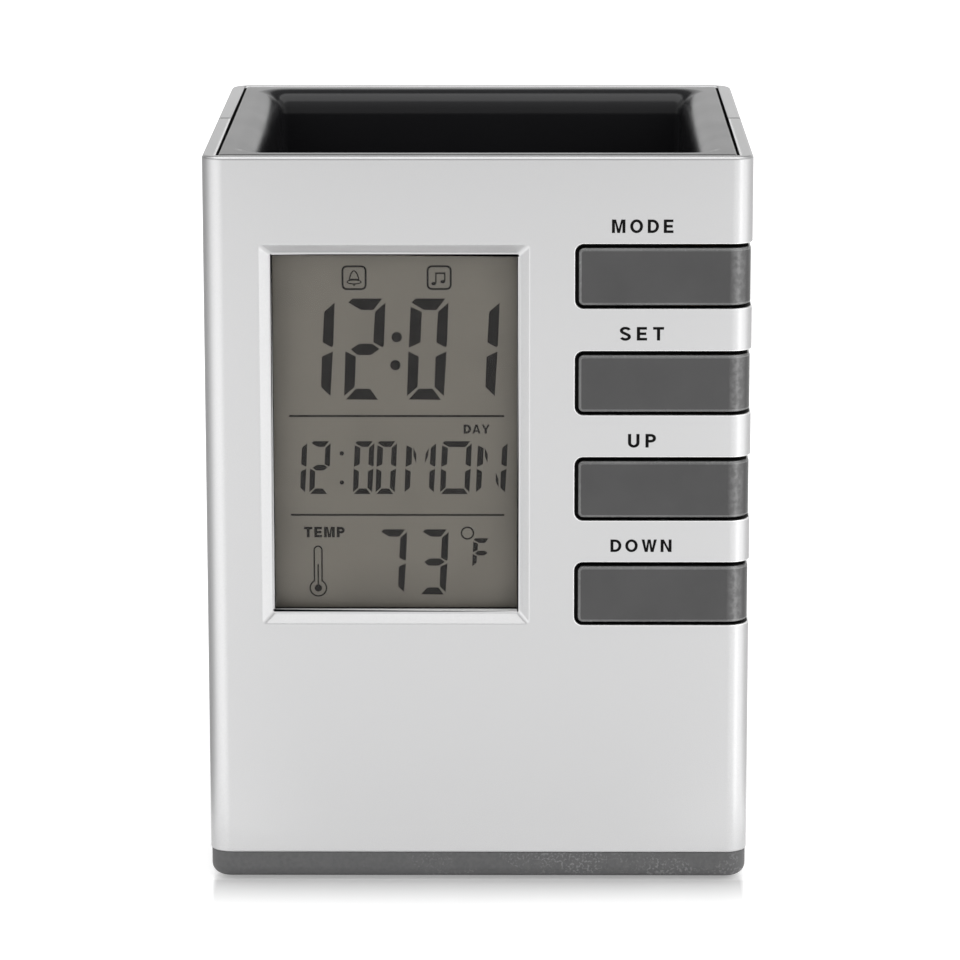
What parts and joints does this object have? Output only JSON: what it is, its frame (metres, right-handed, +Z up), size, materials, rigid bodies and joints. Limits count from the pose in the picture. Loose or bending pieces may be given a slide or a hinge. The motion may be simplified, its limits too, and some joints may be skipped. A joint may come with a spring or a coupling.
{
  "type": "pen holder clock",
  "caption": "Square desk pen cup with a segment display behind a bevelled window and wrap-round keys on its front, on a dark base.",
  "frame": {"origin": "under the middle of the whole object, on the plane that its feet stand on", "axes": "+Z up along the pen cup, the display faces -Y, +X to the right seen from the front"},
  "size_m": [0.08, 0.0804, 0.1088],
  "materials": {
    "shell_paint": "satin silver-grey paint with a fine metallic grain",
    "cup_black": "gloss black",
    "base_grey": "fine moulded grain, dark grey",
    "key_grey": "fine moulded grain, dark grey",
    "lens_clear": "clear",
    "display": "grey reflective display",
    "white_plastic": "plain moulded",
    "strip_rubber": "striped contact rubber",
    "board_brown": "phenolic board",
    "zinc_steel": "zinc plated",
    "epoxy_black": "epoxy",
    "capacitor_sleeve": "shrink sleeve",
    "thermistor_bead": "dipped bead",
    "switch_plastic": "moulded",
    "cell_can": "plain wrapped cell",
    "nickel": "nickel plated",
    "lead_red": "insulated wire",
    "lead_black": "insulated wire",
    "sounder_brass": "rolled",
    "sounder_white": "silvered ceramic",
    "foot_rubber": "matt"
  },
  "bodies": {
    "root": {"front_shell": "shell_paint", "rear_shell": "shell_paint", "pen_cup": "cup_black", "base": "base_grey", "rubber_feet": "foot_rubber", "base_screws": "zinc_steel", "cup_screws": "zinc_steel", "lens": "lens_clear", "lcd_glass": "display", "lcd_frame": "white_plastic", "upper_strip": "strip_rubber", "lower_strip": "strip_rubber", "circuit_board": "board_brown", "board_screws": "zinc_steel", "clock_chip": "epoxy_black", "crystal": "nickel", "capacitor": "capacitor_sleeve", "thermistor": "thermistor_bead", "mode_switch": "switch_plastic", "set_switch": "switch_plastic", "up_switch": "switch_plastic", "down_switch": "switch_plastic", "front_cell": "cell_can", "rear_cell": "cell_can", "positive_plate": "nickel", "negative_plate": "nickel", "bridge_plate": "nickel", "negative_spring": "nickel", "bridge_spring": "nickel", "red_lead": "lead_red", "black_lead": "lead_black", "sounder_disc": "sounder_brass", "sounder_ceramic": "sounder_white", "sounder_disc_lead": "lead_black", "sounder_ceramic_lead": "lead_red"},
    "mode_key": {"mode_button": "key_grey", "mode_plunger": "switch_plastic"},
    "set_key": {"set_button": "key_grey", "set_plunger": "switch_plastic"},
    "up_key": {"up_button": "key_grey", "up_plunger": "switch_plastic"},
    "down_key": {"down_button": "key_grey", "down_plunger": "switch_plastic"},
    "door": {"battery_door": "base_grey"}
  },
  "joints": [
    {"name": "mode_press", "type": "slide", "parent": "root", "child": "mode_key", "axis": [0, 1, 0], "range_m": [0, 0.0005], "stiffness_N_per_m": 2000},
    {"name": "set_press", "type": "slide", "parent": "root", "child": "set_key", "axis": [0, 1, 0], "range_m": [0, 0.0005], "stiffness_N_per_m": 2000},
    {"name": "up_press", "type": "slide", "parent": "root", "child": "up_key", "axis": [0, 1, 0], "range_m": [0, 0.0005], "stiffness_N_per_m": 2000},
    {"name": "down_press", "type": "slide", "parent": "root", "child": "down_key", "axis": [0, 1, 0], "range_m": [0, 0.0005], "stiffness_N_per_m": 2000},
    {"name": "door_tilt", "type": "hinge", "parent": "root", "child": "door", "pos_m": [0, 0.01183, 0.0012], "axis": [1, 0, 0], "range_deg": [0, 60]}
  ]
}
